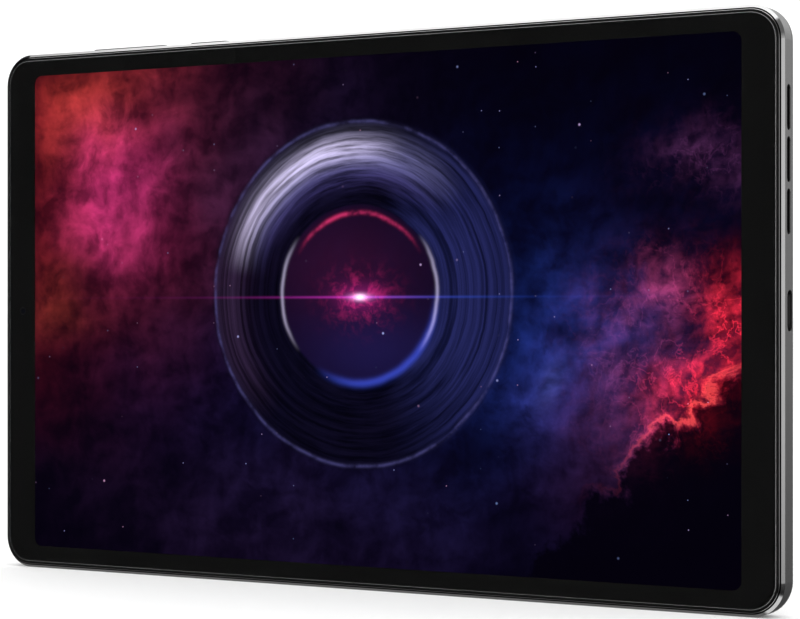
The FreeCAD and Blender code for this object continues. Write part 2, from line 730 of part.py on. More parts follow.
@node
def button_bracket():
    """Steel strip behind the keys, with the saddle that the rocker turns in and a screw tab at each end."""
    underside = BRACKET_TOP - BRACKET_T
    strip = block(BRACKET_X0, BRACKET_X1, underside, BRACKET_TOP, BRACKET_D0, BRACKET_D1)
    saddle_x0, saddle_x1 = ROCKER_X - 1.1, ROCKER_X + 1.1
    saddle = block(saddle_x0, saddle_x1, underside, FLANGE_BOTTOM - 0.25, BUTTON_DEPTH - 1, BUTTON_DEPTH + 1)
    groove = Part.makeCylinder(
        FULCRUM_R + FULCRUM_CLEARANCE, 4, vec(ROCKER_X, BUTTON_DEPTH - 2, FLANGE_BOTTOM), Y_AXIS
    )
    tabs = [
        block(BRACKET_X0 - 3.2, BRACKET_X0 + 0.5, 122.3, BRACKET_TOP, PLATE_REAR, PLATE_REAR + 0.3),
        block(BRACKET_X1 - 0.5, BRACKET_X1 + 3.2, 122.3, BRACKET_TOP, PLATE_REAR, PLATE_REAR + 0.3),
    ]
    holes = [disc(x, z, SCREW_HOLE_R, PLATE_REAR, PLATE_REAR + 1) for x, z in BUTTON_SCREWS]
    return cut_all(fuse_all([strip, saddle, *tabs]), [groove, *holes])


@node
def button_flex():
    """Printed ribbon on the bracket that carries the switch domes to the main board."""
    top = BRACKET_TOP + FLEX_T
    strip = block(BRACKET_X0 + 1.5, BRACKET_X1 - 1.5, BRACKET_TOP, top, BRACKET_D0 + 0.25, BRACKET_D1 - 0.25)
    gap = block(ROCKER_X - 1.2, ROCKER_X + 1.2, BRACKET_TOP, top, BUTTON_DEPTH - 1.05, BUTTON_DEPTH + 1.05)
    x0, x1 = BUTTON_RIBBON_X
    bend = block(x0, x1, BRACKET_TOP, top, BRACKET_D0 + 0.25, PLUG_REAR + FLEX_T)
    tail = block(x0, x1, BUTTON_RIBBON_END, top, PLUG_REAR, PLUG_REAR + FLEX_T)
    return fuse_all([strip.cut(gap), bend, tail])


@node
def switch_domes():
    """Snap domes under the keys."""
    base = BRACKET_TOP + FLEX_T
    sphere_r = (DOME_R * DOME_R + DOME_HEIGHT * DOME_HEIGHT) / (2 * DOME_HEIGHT)
    domes = []
    for x in (ROCKER_X - ROCKER_NUB_OFFSET, ROCKER_X + ROCKER_NUB_OFFSET, POWER_X):
        ball = Part.makeSphere(sphere_r, vec(x, BUTTON_DEPTH, base + DOME_HEIGHT - sphere_r))
        keep = Part.makeCylinder(DOME_R * 1.1, DOME_HEIGHT * 1.2, vec(x, BUTTON_DEPTH, base), Z_AXIS)
        domes.append(ball.common(keep))
    return Part.makeCompound(domes)


@node
def button_screws():
    return Part.makeCompound([screw(x, z, PLATE_REAR + 0.3, 0.7) for x, z in BUTTON_SCREWS])


# ---------------------------------------------------------------- connector

def usb_oval(grow, x0, x1):
    length, width = (s + 2 * grow for s in USB_OPENING)
    return oval(vec(x0, USB_DEPTH, MID_Z), Z_AXIS, Y_AXIS, length, width, X_AXIS * (x1 - x0))


@node
def usb_shell():
    """Drawn steel shell of the charging socket, closed at its inner end."""
    shell = usb_oval(USB_SHELL_WALL, USB_BACK, USB_FRONT)
    return shell.cut(usb_oval(0, USB_BACK + USB_BACK_WALL, USB_FRONT + 1))


@node
def usb_tongue():
    """Insulating blade in the socket, thicker at its root."""
    x0 = USB_BACK + USB_BACK_WALL

    def slab(length, half_width, half_t):
        z0, z1 = MID_Z - half_width, MID_Z + half_width
        return block(x0, x0 + length, z0, z1, USB_DEPTH - half_t, USB_DEPTH + half_t)

    blade = slab(TONGUE_LENGTH, TONGUE_HALF_WIDTH, TONGUE_HALF_T)
    nose = [e for e in blade.Edges if e.BoundBox.XMin > x0 + TONGUE_LENGTH - 0.1]
    blade = blade.makeChamfer(0.15, nose)
    return fuse_all([blade, slab(TONGUE_ROOT_LENGTH, TONGUE_ROOT_HALF_WIDTH, TONGUE_ROOT_HALF_T)])


@node
def usb_contacts():
    """Gold contact strips on both faces of the tongue."""
    x0, x1 = (USB_BACK + reach for reach in CONTACT_SPAN)
    half = CONTACT_WIDTH / 2
    strips = []
    for k in range(CONTACTS):
        z = MID_Z + (k - (CONTACTS - 1) / 2) * CONTACT_PITCH
        for d0 in (USB_DEPTH - TONGUE_HALF_T - CONTACT_T, USB_DEPTH + TONGUE_HALF_T):
            strips.append(block(x0, x1, z - half, z + half, d0, d0 + CONTACT_T))
    return Part.makeCompound(strips)


@node
def usb_seal():
    """Rubber ring between the socket and the wall."""
    ring = usb_oval(USB_SEAL_WALL, USB_FRONT - USB_SEAL_LENGTH, USB_FRONT)
    return ring.cut(usb_oval(USB_SHELL_WALL, USB_FRONT - 1, USB_FRONT + 1))


@node
def sub_board():
    """Small circuit board that carries the charging socket."""
    d0, d1 = SUB_BOARD_FRONT, BOARD_REAR
    board = block(*SUB_BOARD, d0, d1)
    z0, z1 = MID_Z - SUB_BOARD_NOTCH_HALF, MID_Z + SUB_BOARD_NOTCH_HALF
    notch = block(SUB_BOARD_NOTCH_X, HALF, z0, z1, d0, d1)
    holes = [disc(x, z, SCREW_HOLE_R, d0, d1) for x, z in SUB_BOARD_SCREWS]
    return cut_all(board, [notch, *holes])


@node
def sub_board_flex():
    """Long ribbon under the cells that joins the two boards."""
    d0, d1 = PLUG_REAR, PLUG_REAR + FLEX_T
    z0, z1 = LONG_RIBBON_Z
    run = block(LONG_RIBBON_LEFT[0], LONG_RIBBON_RIGHT[1], z0, z1, d0, d1)
    left_leg = block(*LONG_RIBBON_LEFT, z0, 12.5, d0, d1)
    right_leg = block(*LONG_RIBBON_RIGHT, z0, 53.5, d0, d1)
    return fuse_all([run, left_leg, right_leg])


# ---------------------------------------------------------------- speakers


def speaker_span(side, near, far):
    """Two X values, near and far from the wall on one side, in rising order."""
    return sorted((side * near, side * far))


def speaker_box(side):
    """Plastic chamber with a nozzle that opens on the slots."""
    z0, z1 = MID_Z + SPEAKER_RISE0, MID_Z + SPEAKER_RISE1
    w = SPEAKER_WALL
    x0, x1 = speaker_span(side, SPEAKER_OUTER_X, SPEAKER_OUTER_X - SPEAKER_WIDTH)
    n0, n1 = speaker_span(side, SPEAKER_OUTER_X, NOZZLE_X)
    box = block(x0, x1, z0, z1, BENCH, MODULE_REAR)
    nozzle = block(n0, n1, z0, z1, NOZZLE_FRONT, BENCH)
    chamber = block(x0 + w, x1 - w, z0 + w, z1 - w, BENCH + w, MODULE_REAR - w)
    p0, p1 = speaker_span(side, SPEAKER_OUTER_X + 1, NOZZLE_X + w)
    port = block(p0, p1, z0 + w, z1 - w, NOZZLE_FRONT + PORT_FRONT_WALL, BENCH + w)
    return cut_all(fuse_all([box, nozzle]), [chamber, port])


def speaker_middle(side):
    return side * (SPEAKER_OUTER_X - SPEAKER_WIDTH / 2), MID_Z + (SPEAKER_RISE0 + SPEAKER_RISE1) / 2


def speaker_diaphragm(side):
    """Stiff plate with rounded ends that pumps the air, midway between the chamber's floor and the magnet."""
    x, z = speaker_middle(side)
    floor, ceiling = BENCH + SPEAKER_WALL, MODULE_REAR - SPEAKER_WALL - MAGNET_T
    front = (floor + ceiling - DIAPHRAGM_T) / 2
    w, h = DIAPHRAGM_HALF
    return rounded_block(x - w, x + w, z - h, z + h, DIAPHRAGM_CORNER, front, front + DIAPHRAGM_T)


@node
def left_speaker_box():
    return speaker_box(-1)


@node
def right_speaker_box():
    return speaker_box(1)


@node
def speaker_magnets():
    rear = MODULE_REAR - SPEAKER_WALL
    w, h = MAGNET_HALF
    middles = [speaker_middle(side) for side in (-1, 1)]
    magnets = [block(x - w, x + w, z - h, z + h, rear - MAGNET_T, rear) for x, z in middles]
    return Part.makeCompound(magnets)


@node
def left_speaker_diaphragm():
    return speaker_diaphragm(-1)


@node
def right_speaker_diaphragm():
    return speaker_diaphragm(1)


@node
def speaker_meshes():
    """Woven dust screens behind the slots."""
    z0, z1 = MID_Z + SPEAKER_RISE0 + 0.3, MID_Z + SPEAKER_RISE1 - 0.3
    d0, d1 = SLOT_DEPTH - SCREEN_HALF_WIDTH, SLOT_DEPTH + SCREEN_HALF_WIDTH
    outer = INNER_X - SCREEN_GAP
    screens = []
    for side in (-1, 1):
        x0, x1 = speaker_span(side, outer, outer - SCREEN_T)
        screens.append(block(x0, x1, z0, z1, d0, d1))
    return Part.makeCompound(screens)


# ---------------------------------------------------------------- main board


@node
def main_board():
    """Main circuit board, cut away round the rear camera."""
    board = block(*MAIN_BOARD, BENCH, BOARD_REAR)
    corner = block(MAIN_BOARD[0] - 1, -82.4, 109.3, MAIN_BOARD[3] + 1, BENCH, BOARD_REAR)
    holes = [disc(x, z, SCREW_HOLE_R, BENCH, BOARD_REAR) for x, z in MAIN_BOARD_SCREWS]
    return cut_all(board, [corner, *holes])


@node
def processor():
    return block(-87.5, -73.5, 76.0, 90.0, BOARD_REAR, BOARD_REAR + PROCESSOR_T)


@node
def board_chips():
    """Storage, power management and radio chips."""
    chips = [
        (-88.0, -76.5, 61.5, 74.5, 1.0),
        (-88.5, -81.5, 20.0, 27.0, 0.9),
        (-78.5, -73.5, 18.0, 28.0, 0.8),
        (-75.0, -71.5, 62.0, 68.0, 0.8),
    ]
    blocks = [block(x0, x1, z0, z1, BOARD_REAR, BOARD_REAR + t) for x0, x1, z0, z1, t in chips]
    return Part.makeCompound(blocks)


def shield_can(x0, x1, z0, z1):
    """Thin metal lid, open towards the board."""
    can = rounded_block(x0, x1, z0, z1, 1.0, BOARD_REAR, SHIELD_REAR)
    t = SHIELD_T
    return can.cut(rounded_block(x0 + t, x1 - t, z0 + t, z1 - t, 1.0 - t, BOARD_REAR, SHIELD_REAR - t))


@node
def main_shield():
    return shield_can(*MAIN_SHIELD)


@node
def radio_shield():
    return shield_can(*RADIO_SHIELD)


@node
def thermal_pad():
    """Soft pad that fills the gap between the processor and its shield."""
    return block(-87.0, -74.0, 76.5, 89.5, BOARD_REAR + PROCESSOR_T, SHIELD_REAR - SHIELD_T)


@node
def heat_spreader():
    """Graphite sheet over the main shield."""
    return rounded_block(-90.5, -70.5, 60.5, 95.5, 1.5, SHIELD_REAR, SHIELD_REAR + 0.1)


@node
def board_connectors():
    """Ribbon plugs for the display, cameras, keys, socket board and cells."""
    plugs = [
        (-90.0, -86.3, 37.5, 52.5),
        (-91.0, -87.0, 55.2, 58.2),
        (-88.0, -83.0, 103.5, 106.5),
        (-76.5, -71.5, 114.6, 117.6),
        (-76.0, -71.0, 9.3, 12.3),
        (82.0, 87.0, 50.4, 53.4),
        (-72.6, -69.2, 101.0, 108.0),
    ]
    return Part.makeCompound([block(*p, BOARD_REAR, PLUG_REAR) for p in plugs])


@node
def board_screws():
    places = [*MAIN_BOARD_SCREWS, *SUB_BOARD_SCREWS]
    return Part.makeCompound([screw(x, z, BOARD_REAR, 1.25) for x, z in places])


# ---------------------------------------------------------------- power


def cell(x0, x1):
    """A pouch cell with softly rounded long edges."""
    pouch = block(x0, x1, CELL_Z0, CELL_Z1, BENCH, CELL_REAR)
    upright = [e for e in pouch.Edges if e.BoundBox.ZLength > 1]
    return pouch.makeFillet(CELL_ROUND, upright)


@node
def left_cell():
    return cell(*CELL_ENDS[0])


@node
def right_cell():
    return cell(*CELL_ENDS[1])


@node
def cell_board():
    """Protection circuit along the cells' upper ends, with the lead to the main board."""
    d0, d1 = PLUG_REAR, PLUG_REAR + FLEX_T
    strip = block(*CELL_BOARD, CELL_Z1, CELL_Z1 + CELL_BOARD_WIDTH, CELL_BOARD_FRONT, PLUG_REAR)
    lead_x1, lead_z0 = CELL_PLUG[1:3]
    lead_z1 = CELL_Z1 + CELL_BOARD_WIDTH - 0.5
    run = block(lead_x1 - 1.0, CELL_BOARD[0] + 4.0, CELL_Z1 + 0.5, lead_z1, d0, d1)
    drop = block(lead_x1 - 1.0, lead_x1, lead_z0, lead_z1, d0, d1)
    foot = block(*CELL_PLUG, d0, d1)
    return fuse_all([strip, run, drop, foot])


@node
def cell_adhesive():
    """Pull strips that hold the cells on the mid plate."""
    strips = []
    for x0, x1 in CELL_ENDS:
        for x in (x0 + 12, x1 - 24):
            strips.append(block(x, x + 12, 10, 112, PLATE_REAR, BENCH))
    return Part.makeCompound(strips)


# ---------------------------------------------------------------- small modules


def haptic_inside():
    x0, x1, z0, z1 = HAPTIC
    w = HAPTIC_WALL
    return x0 + w, x1 - w, z0 + w, z1 - w


def haptic_shaft_at(radius, x0, x1):
    z = (HAPTIC[2] + HAPTIC[3]) / 2
    return Part.makeCylinder(radius, x1 - x0, vec(x0, (BENCH + MODULE_REAR) / 2, z), X_AXIS)


@node
def vibration_motor_case():
    box = block(*HAPTIC, BENCH, MODULE_REAR)
    return box.cut(block(*haptic_inside(), BENCH + HAPTIC_WALL, MODULE_REAR - HAPTIC_WALL))


@node
def vibration_motor_shaft():
    """Guide pin across the case."""
    x0, x1, _, _ = haptic_inside()
    return haptic_shaft_at(HAPTIC_SHAFT_R, x0, x1)


@node
def vibration_motor_mass():
    """Heavy block that shuttles along the guide pin."""
    x0, x1, z0, z1 = haptic_inside()
    gap = HAPTIC_TRAVEL + 1.2
    mass = block(x0 + gap, x1 - gap, z0 + 0.4, z1 - 0.4, BENCH + 0.5, MODULE_REAR - 0.5)
    return mass.cut(haptic_shaft_at(HAPTIC_SHAFT_R + 0.05, x0, x1))


@node
def antenna_carrier():
    """Plastic block that holds the aerials up under the radio window."""
    return block(-102.3, -96.6, 8.0, 46.0, 4.3, MODULE_REAR)


@node
def antenna_foils():
    """Two printed aerials on the carrier."""
    d0, d1 = MODULE_REAR, MODULE_REAR + 0.06
    long_foil = fuse_all([block(-102.0, -100.8, 9, 30, d0, d1), block(-102.0, -97.0, 9, 10.5, d0, d1)])
    short_foil = fuse_all([block(-102.0, -100.8, 32, 45, d0, d1), block(-102.0, -97.0, 43.5, 45, d0, d1)])
    return Part.makeCompound([long_foil, short_foil])


@node
def microphones():
    """Sealed capsules behind the pinholes in the left and top sides."""
    z = MID_Z + MIC_LEFT_RISE
    d0, d1 = MIC_DEPTH - 0.4, MIC_DEPTH + 0.6
    left = block(-INNER_X + 0.05, -INNER_X + 2.8, z - 1.5, z + 1.5, d0, d1)
    top = block(MIC_TOP_X - 1.5, MIC_TOP_X + 1.5, INNER_TOP - 2.8, INNER_TOP - 0.05, d0, d1)
    return Part.makeCompound([left, top])


def main():
    os.makedirs("parts", exist_ok=True)
    for name, make in NODES.items():
        shape = make()
        if not shape.isValid() or shape.Volume <= 0:
            raise ValueError(f"{name} is not a valid closed shape")
        shape.exportStep(os.path.join("parts", name + ".step"))
        print(f"{name}: {len(shape.Solids)} solid(s), {shape.Volume:.1f} mm3")
    print(len(NODES), "nodes")


main()
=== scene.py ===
import json
import math

import bmesh
import bpy
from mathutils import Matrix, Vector


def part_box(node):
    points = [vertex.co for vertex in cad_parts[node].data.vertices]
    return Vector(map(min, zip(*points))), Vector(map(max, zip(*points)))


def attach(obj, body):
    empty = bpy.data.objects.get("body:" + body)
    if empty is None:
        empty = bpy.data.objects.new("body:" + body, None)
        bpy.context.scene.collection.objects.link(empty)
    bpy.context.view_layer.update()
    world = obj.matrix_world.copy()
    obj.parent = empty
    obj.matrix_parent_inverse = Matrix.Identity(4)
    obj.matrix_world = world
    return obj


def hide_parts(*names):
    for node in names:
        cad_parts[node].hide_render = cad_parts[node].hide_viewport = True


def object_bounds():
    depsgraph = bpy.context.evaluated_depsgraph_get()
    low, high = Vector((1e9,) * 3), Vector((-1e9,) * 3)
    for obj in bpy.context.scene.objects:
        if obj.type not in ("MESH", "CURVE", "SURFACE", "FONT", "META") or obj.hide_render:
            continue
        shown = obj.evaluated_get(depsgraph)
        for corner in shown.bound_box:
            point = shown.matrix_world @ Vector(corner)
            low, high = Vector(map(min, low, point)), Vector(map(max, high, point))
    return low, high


# Looks of a tablet computer that stands upright on its lower long edge, on a pale studio floor.
# Lengths are in metres in the frame's own axes: X along the screen, Y to the rear, Z up.

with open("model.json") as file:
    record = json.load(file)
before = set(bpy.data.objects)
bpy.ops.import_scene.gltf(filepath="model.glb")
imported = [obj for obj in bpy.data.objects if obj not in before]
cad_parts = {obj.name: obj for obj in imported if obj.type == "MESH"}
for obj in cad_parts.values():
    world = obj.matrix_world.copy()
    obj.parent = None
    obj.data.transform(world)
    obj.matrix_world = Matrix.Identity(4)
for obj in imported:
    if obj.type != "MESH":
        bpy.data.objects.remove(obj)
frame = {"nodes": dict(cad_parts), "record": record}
cad_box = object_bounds()
nodes = frame["nodes"]

MM = 0.001
PANEL_LOW, PANEL_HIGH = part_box("display_panel")
SCREEN_CENTRE = (PANEL_LOW + PANEL_HIGH) / 2
GLASS_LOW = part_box("cover_glass")[0]


# ---------------------------------------------------------------- node graphs


class Graph:
    """A material's node tree, built with short calls."""

    dimensions = "3D"

    def __init__(self, name):
        self.material = bpy.data.materials.new(name)
        self.material.use_nodes = True
        self.tree = self.material.node_tree
        self.tree.nodes.clear()
        self.output = self.tree.nodes.new("ShaderNodeOutputMaterial")
        self.coordinates = self.tree.nodes.new("ShaderNodeTexCoord").outputs["Object"]

    def put(self, socket, value):
        if isinstance(value, bpy.types.NodeSocket):
            self.tree.links.new(value, socket)
        elif value is not None:
            socket.default_value = value

    def math(self, operation, a, b=None, c=None, clamp=False):
        node = self.tree.nodes.new("ShaderNodeMath")
        node.operation = operation
        node.use_clamp = clamp
        for socket, value in zip(node.inputs, (a, b, c)):
            self.put(socket, value)
        return node.outputs[0]

    def vector(self, operation, a, b=None, scale=None):
        node = self.tree.nodes.new("ShaderNodeVectorMath")
        node.operation = operation
        self.put(node.inputs[0], a)
        self.put(node.inputs[1], b)
        self.put(node.inputs[3], scale)
        return node.outputs[1 if operation in ("LENGTH", "DOT_PRODUCT", "DISTANCE") else 0]

    def split(self, vector):
        node = self.tree.nodes.new("ShaderNodeSeparateXYZ")
        self.put(node.inputs[0], vector)
        return node.outputs

    def join(self, x, y, z=0.0):
        node = self.tree.nodes.new("ShaderNodeCombineXYZ")
        for socket, value in zip(node.inputs, (x, y, z)):
            self.put(socket, value)
        return node.outputs[0]

    def noise(self, vector, scale, detail=2.0, roughness=0.5, distortion=0.0, output="Fac"):
        node = self.tree.nodes.new("ShaderNodeTexNoise")
        node.noise_dimensions = self.dimensions
        self.put(node.inputs["Vector"], vector)
        self.put(node.inputs["Scale"], scale)
        self.put(node.inputs["Detail"], detail)
        self.put(node.inputs["Roughness"], roughness)
        self.put(node.inputs["Distortion"], distortion)
        return node.outputs[output]

    def voronoi(self, vector, scale, output="Distance", feature="F1"):
        node = self.tree.nodes.new("ShaderNodeTexVoronoi")
        node.voronoi_dimensions = self.dimensions
        node.feature = feature
        self.put(node.inputs["Vector"], vector)
        self.put(node.inputs["Scale"], scale)
        return node.outputs[output]

    def step(self, value, low, high):
        """Rises smoothly from 0 at low to 1 at high."""
        node = self.tree.nodes.new("ShaderNodeMapRange")
        node.interpolation_type = "SMOOTHSTEP"
        self.put(node.inputs["Value"], value)
        self.put(node.inputs["From Min"], low)
        self.put(node.inputs["From Max"], high)
        return node.outputs["Result"]

    def remap(self, value, low, high, to_low, to_high):
        node = self.tree.nodes.new("ShaderNodeMapRange")
        self.put(node.inputs["Value"], value)
        for name, number in zip(("From Min", "From Max", "To Min", "To Max"), (low, high, to_low, to_high)):
            self.put(node.inputs[name], number)
        return node.outputs["Result"]

    def mix(self, factor, a, b, blend="MIX"):
        node = self.tree.nodes.new("ShaderNodeMix")
        node.data_type = "RGBA"
        node.blend_type = blend
        self.put(node.inputs[0], factor)
        self.put(node.inputs[6], self.colour(a))
        self.put(node.inputs[7], self.colour(b))
        return node.outputs[2]

    @staticmethod
    def colour(value):
        return (*value, 1.0) if isinstance(value, tuple) and len(value) == 3 else value

    def bump(self, height, distance, strength=1.0):
        node = self.tree.nodes.new("ShaderNodeBump")
        self.put(node.inputs["Strength"], strength)
        self.put(node.inputs["Distance"], distance)
        self.put(node.inputs["Height"], height)
        return node.outputs["Normal"]

    def shader(self, **inputs):
        """The material's surface. Underscores in a name stand for spaces."""
        node = self.tree.nodes.new("ShaderNodeBsdfPrincipled")
        for name, value in inputs.items():
            self.put(node.inputs[name.replace("_", " ")], self.colour(value))
        self.tree.links.new(node.outputs[0], self.output.inputs["Surface"])
        return self.material


def srgb(red, green, blue):
    """A linear colour from 0 to 255 display values."""

    def linear(value):
        share = value / 255
        return share / 12.92 if share <= 0.04045 else ((share + 0.055) / 1.055) ** 2.4

    return (linear(red), linear(green), linear(blue))


# ---------------------------------------------------------------- the picture on the screen

# Places and sizes in the picture are in millimetres from the screen's centre, to the right and up.
# Colours are display values from 0 to 255.

# Broad soft light: colour, centre, size
GLOWS = (
    ((100, 20, 24), (-94.0, 38.0), (46.0, 40.0)),
    ((178, 44, 106), (-67.0, 29.0), (13.5, 12.0)),
    ((112, 34, 14), (-75.0, 46.0), (15.0, 10.0)),
    ((64, 24, 8), (-86.0, 7.0), (13.0, 9.0)),
    ((16, 12, 28), (-36.0, 34.0), (36.0, 32.0)),
    ((17, 8, 24), (-18.0, -46.0), (60.0, 20.0)),
    ((4, 11, 44), (20.0, -8.0), (70.0, 40.0)),
    ((14, 34, 96), (53.0, -5.0), (18.0, 17.0)),
    ((34, 40, 78), (54.0, -11.0), (4.0, 4.0)),
    ((36, 10, 22), (66.0, -18.0), (18.0, 24.0)),
)
NIGHT = (4, 2, 13)

# The same for the cloud bank at the right
BANK_GLOWS = (
    ((190, 26, 34), (84.0, -19.0), (9.5, 8.0)),
    ((214, 36, 54), (95.0, -4.0), (8.5, 9.5)),
    ((104, 32, 62), (77.0, 6.0), (9.0, 5.5)),
    ((60, 26, 58), (71.0, -9.0), (13.0, 14.0)),
    ((58, 18, 40), (73.0, -27.0), (9.0, 8.0)),
    ((46, 20, 46), (88.0, 33.0), (12.0, 7.0)),
)

HALO_CENTRE = (0.3, 4.0)
HALO_INNER = 20.8
HALO_OUTER = 40.6
FLARE_CENTRE = (0.8, 3.2)


class Painter(Graph):
    """A graph whose colours are painted on a flat picture."""

    dimensions = "2D"

    def glow(self, source, colour, centre, size, power=1.0):
        """A soft elliptical patch of light."""
        offset = self.vector("SUBTRACT", source, (*centre, 0.0))
        scaled = self.vector("MULTIPLY", offset, (1 / size[0], 1 / size[1], 0.0))
        squared = self.vector("DOT_PRODUCT", scaled, scaled)
        fall = self.math("EXPONENT", self.math("MULTIPLY", squared, -1.0))
        return self.tint(colour, self.math("MULTIPLY", fall, power))

    def tint(self, colour, strength):
        return self.mix(strength, (0.0, 0.0, 0.0), srgb(*colour))

    def add(self, *layers):
        total = layers[0]
        for layer in layers[1:]:
            total = self.mix(1.0, total, layer, "ADD")
        return total

    def times(self, colour, factor):
        return self.mix(1.0, colour, self.join(factor, factor, factor), "MULTIPLY")

    def warp(self, source, scale, reach, detail=3.0):
        """Moves places about by noise, so that what is painted there looks like cloud."""
        drift = self.noise(source, scale, detail, 0.5, output="Color")
        centred = self.vector("SUBTRACT", drift, HALVES)
        return self.vector("ADD", source, self.vector("SCALE", centred, scale=reach))

    def relief(self, source, scale, detail, step, gain):
        """Noise lit from the upper left, from 0 in shade to about 1 in light."""
        here = self.noise(source, scale, detail, 0.58)
        there = self.noise(self.vector("ADD", source, (-step, step, 0.0)), scale, detail, 0.58)
        return self.math("MULTIPLY_ADD", self.math("SUBTRACT", here, there), gain, 0.5, clamp=True)

    def band(self, value, middle, width):
        """1 at the middle of a soft band, and 0 outside it."""
        offset = self.math("DIVIDE", self.math("SUBTRACT", value, middle), width)
        return self.math("EXPONENT", self.math("MULTIPLY", self.math("MULTIPLY", offset, offset), -1.0))


HALVES = (0.5, 0.5, 0.5)


def paint_sky(g, flat):
    """Broad colour, broken up by cloud."""
    loose = g.warp(flat, 0.020, 34.0)
    glows = [g.glow(loose, colour, centre, size) for colour, centre, size in GLOWS]
    puffs = g.relief(g.warp(flat, 0.07, 8.0, 5.0), 0.06, 8.0, 1.8, 4.2)
    wisps = g.noise(g.warp(flat, 0.03, 14.0), 0.045, 7.0, 0.6)
    thickness = g.remap(wisps, 0.32, 0.68, 0.5, 1.5)
    light = g.remap(puffs, 0.0, 1.0, 0.5, 1.5)
    return g.add(srgb(*NIGHT), g.times(g.add(*glows), g.math("MULTIPLY", thickness, light)))


def paint_right_cloud(g, flat, sky):
    """A lit red cloud bank at the right, with fine bright threads and a dark bank below it."""
    billow = g.noise(g.warp(flat, 0.05, 9.0, 5.0), 0.09, 8.0, 0.62)
    folds = g.relief(g.warp(flat, 0.10, 5.0, 5.0), 0.13, 9.0, 0.9, 4.5)
    thickness = g.remap(billow, 0.36, 0.64, 0.25, 1.6)
    light = g.math("MULTIPLY", g.remap(folds, 0.0, 1.0, 0.35, 1.7), thickness)
    course = g.noise(g.warp(flat, 0.09, 8.0, 5.0), 0.10, 6.0, 0.6)
    threads = g.math("MULTIPLY", g.band(course, 0.5, 0.012), 1.1)
    loose = g.warp(flat, 0.06, 14.0, 4.0)
    glows = g.add(*[g.glow(loose, colour, centre, size) for colour, centre, size in BANK_GLOWS])
    sky = g.add(sky, g.times(glows, g.math("ADD", light, threads)))
    down = g.vector("DOT_PRODUCT", flat, (0.67, -0.74, 0.0))
    rough = g.math("MULTIPLY", g.math("SUBTRACT", billow, 0.5), 26.0)
    beyond = g.math("ADD", g.math("SUBTRACT", down, 72.0), rough)
    rim = g.glow(flat, (216, 70, 66), (84.0, -20.0), (16.0, 13.0))
    sky = g.add(sky, g.times(rim, g.band(beyond, -1.2, 1.1)))
    return g.mix(g.math("MULTIPLY", g.step(beyond, -1.2, 2.4), 0.93), sky, srgb(4, 2, 12))


def paint_halo(g, flat, sky):
    """A round halo of dust rings, lit from the upper left and glowing at its inner rim."""
    offset = g.vector("SUBTRACT", g.warp(flat, 0.08, 0.9), (*HALO_CENTRE, 0.0))
    reach = g.vector("LENGTH", offset)
    way = g.vector("NORMALIZE", offset)
    side = g.split(way)
    inside = g.math("SUBTRACT", 1.0, g.step(reach, HALO_INNER - 0.7, HALO_INNER + 0.3))
    ring = g.math(
        "MULTIPLY",
        g.step(reach, HALO_INNER - 0.7, HALO_INNER + 0.3),
        g.math("SUBTRACT", 1.0, g.step(reach, HALO_OUTER - 1.6, HALO_OUTER + 1.2)),
    )
    up = g.step(g.vector("DOT_PRODUCT", way, (-0.26, 0.966, 0.0)), 0.35, 1.0)
    right = g.step(side[0], 0.2, 1.0)
    lit = g.step(g.vector("DOT_PRODUCT", way, (-0.5, 0.866, 0.0)), 0.6, 1.0)
    grain = g.noise(g.join(reach, g.math("MULTIPLY", side[0], 2.0), side[1]), 0.9, 5.0, 0.6)
    grooves = g.remap(grain, 0.35, 0.65, 0.4, 1.5)
    dust = g.add(
        srgb(10, 8, 25),
        g.tint((106, 104, 150), g.math("MULTIPLY", up, g.band(reach, 33.0, 3.6))),
        g.tint((184, 174, 196), g.math("MULTIPLY", lit, g.band(reach, 34.0, 2.6))),
        g.tint((44, 38, 86), g.math("MULTIPLY", up, g.band(reach, 28.5, 3.0))),
        g.tint((28, 32, 78), right),
        g.tint((42, 28, 48), g.math("MULTIPLY", g.step(side[0], -0.6, -1.0), g.band(reach, 36.0, 4.0))),
    )
    sky = g.mix(g.math("MULTIPLY", ring, 0.9), sky, g.times(dust, grooves))
    inner = g.add(
        srgb(20, 10, 36),
        g.glow(flat, (42, 6, 26), (-4.0, 10.0), (18.0, 12.0)),
        g.glow(flat, (18, 18, 62), (4.0, -9.0), (17.0, 9.0)),
    )
    sky = g.mix(g.math("MULTIPLY", inside, 0.88), sky, inner)
    rim = g.band(reach, HALO_INNER + 0.1, 0.45)
    upper = g.step(side[1], 0.45, 0.95)
    lower = g.step(g.vector("DOT_PRODUCT", way, (0.5, -0.866, 0.0)), 0.4, 0.95)
    flank = g.step(g.math("ABSOLUTE", side[0]), 0.75, 1.0)
    uneven = g.remap(g.noise(flat, 0.16, 4.0, 0.6), 0.35, 0.6, 0.2, 1.3)
    arc = g.math("MULTIPLY", g.band(reach, HALO_INNER - 2.0, 0.5), upper)
    return g.add(
        sky,
        g.times(g.tint((176, 40, 84), arc), uneven),
        g.tint((50, 66, 176), g.math("MULTIPLY", g.band(reach, HALO_INNER, 0.9), lower)),
        g.tint((150, 142, 170), g.math("MULTIPLY", rim, flank)),
        g.times(g.tint((50, 48, 86), g.band(reach, HALO_OUTER - 0.6, 0.4)), uneven),
    )


